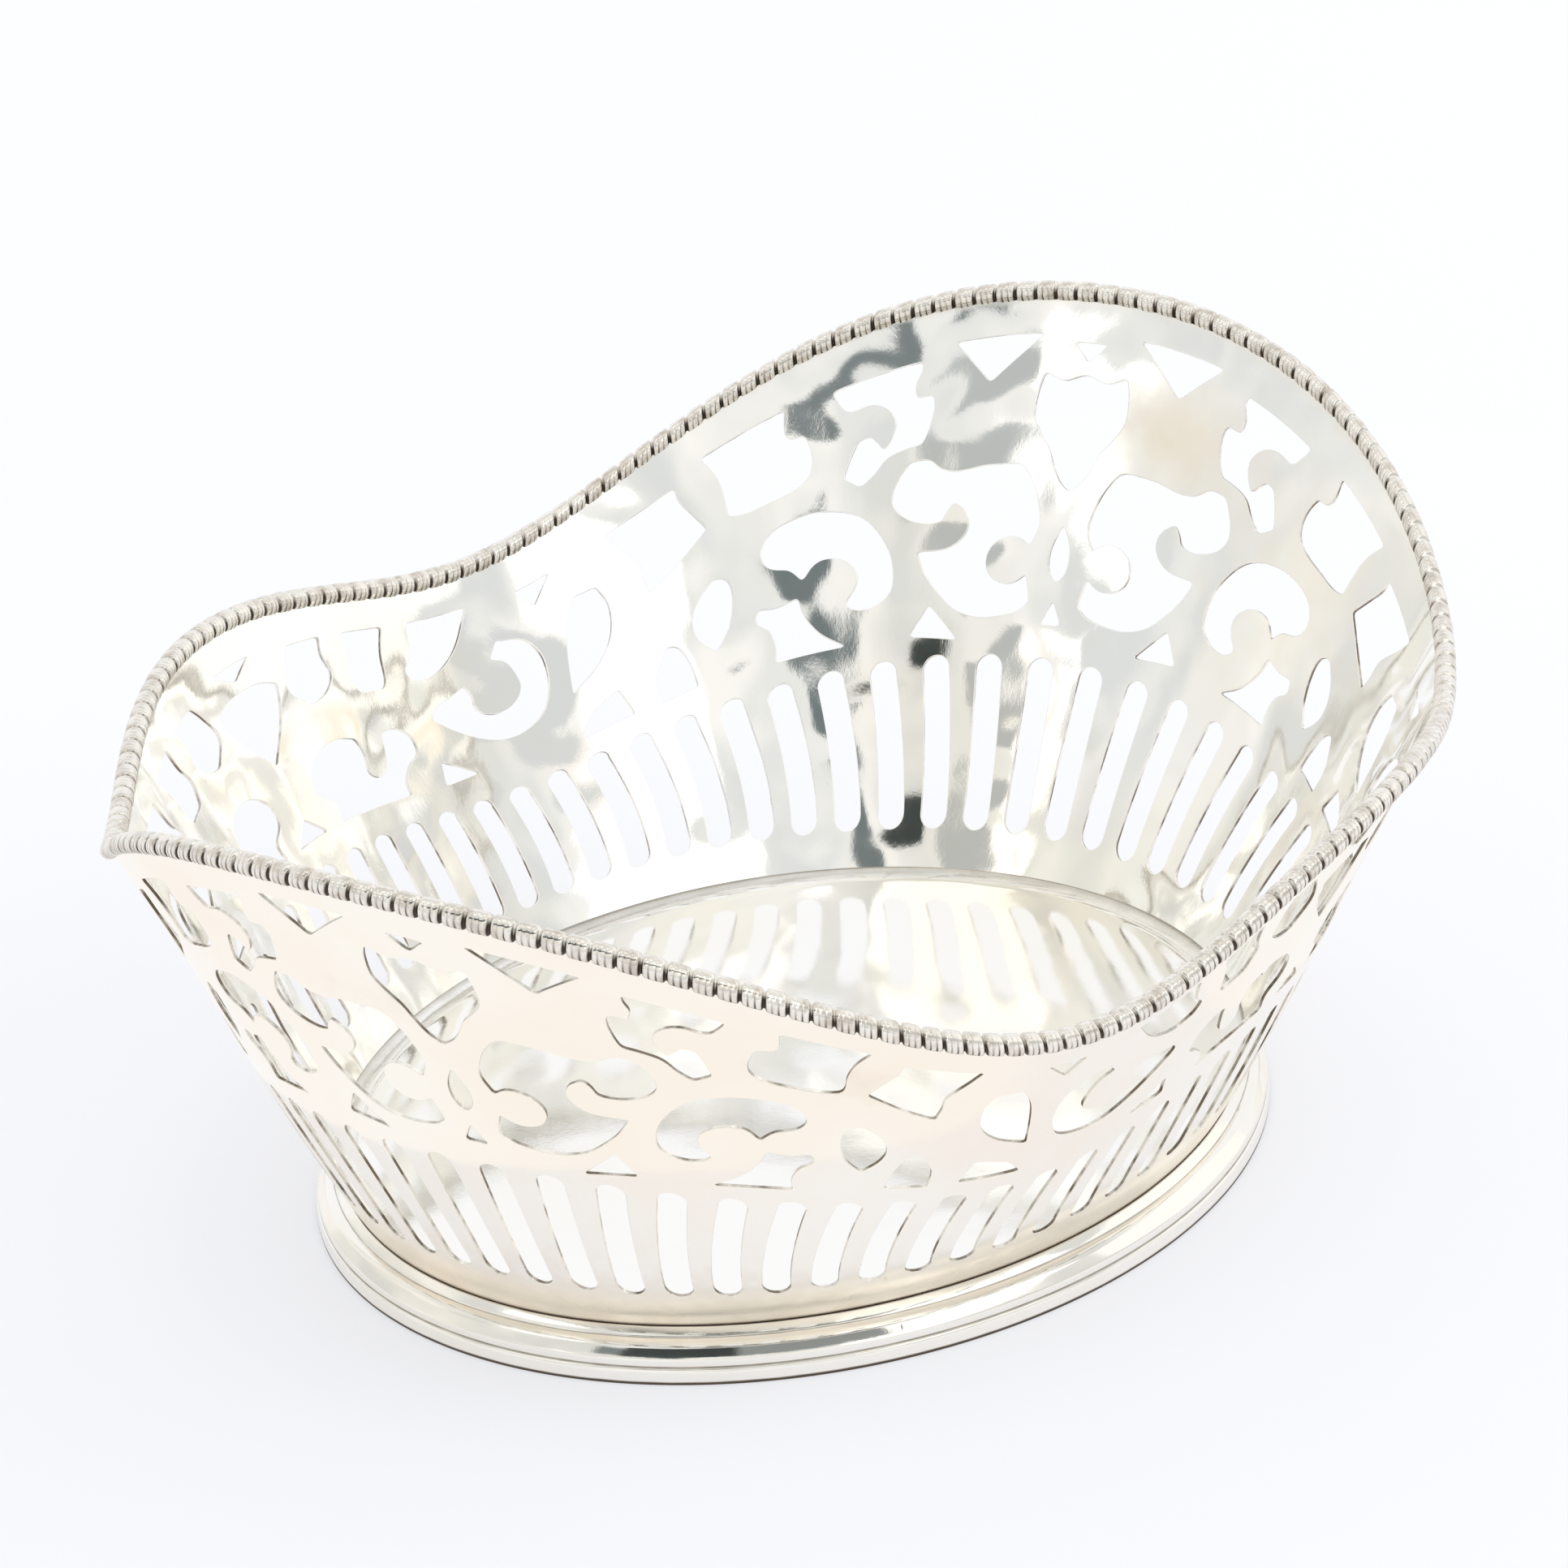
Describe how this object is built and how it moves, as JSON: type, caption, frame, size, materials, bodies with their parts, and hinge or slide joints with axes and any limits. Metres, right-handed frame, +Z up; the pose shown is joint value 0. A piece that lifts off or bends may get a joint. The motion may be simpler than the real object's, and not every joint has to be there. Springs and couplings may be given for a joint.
{
  "type": "openwork bonbon basket",
  "caption": "Oval boat-shaped sweetmeat basket with a saw-pierced flaring wall of scrolls and slots, a beaded wavy rim, a flat floor and a stepped oval foot",
  "frame": {"origin": "on the table, under the middle of the basket's overall length and width", "axes": "+Z up, +X along the long axis of the oval, +Y across it; the bent-up corner lies towards -X, +Y"},
  "size_m": [0.1452, 0.1136, 0.0545],
  "materials": {
    "foot_silver": "polished silver with rubbed edges",
    "floor_silver": "mirror-polished silver with fine wear",
    "wall_silver": "mirror-polished silver, warm tarnish here and there",
    "rim_silver": "polished silver with darker grooves between the beads"
  },
  "bodies": {
    "root": {"foot_ring": "foot_silver", "floor_plate": "floor_silver", "pierced_wall": "wall_silver", "beaded_rim_wire": "rim_silver"}
  },
  "joints": []
}
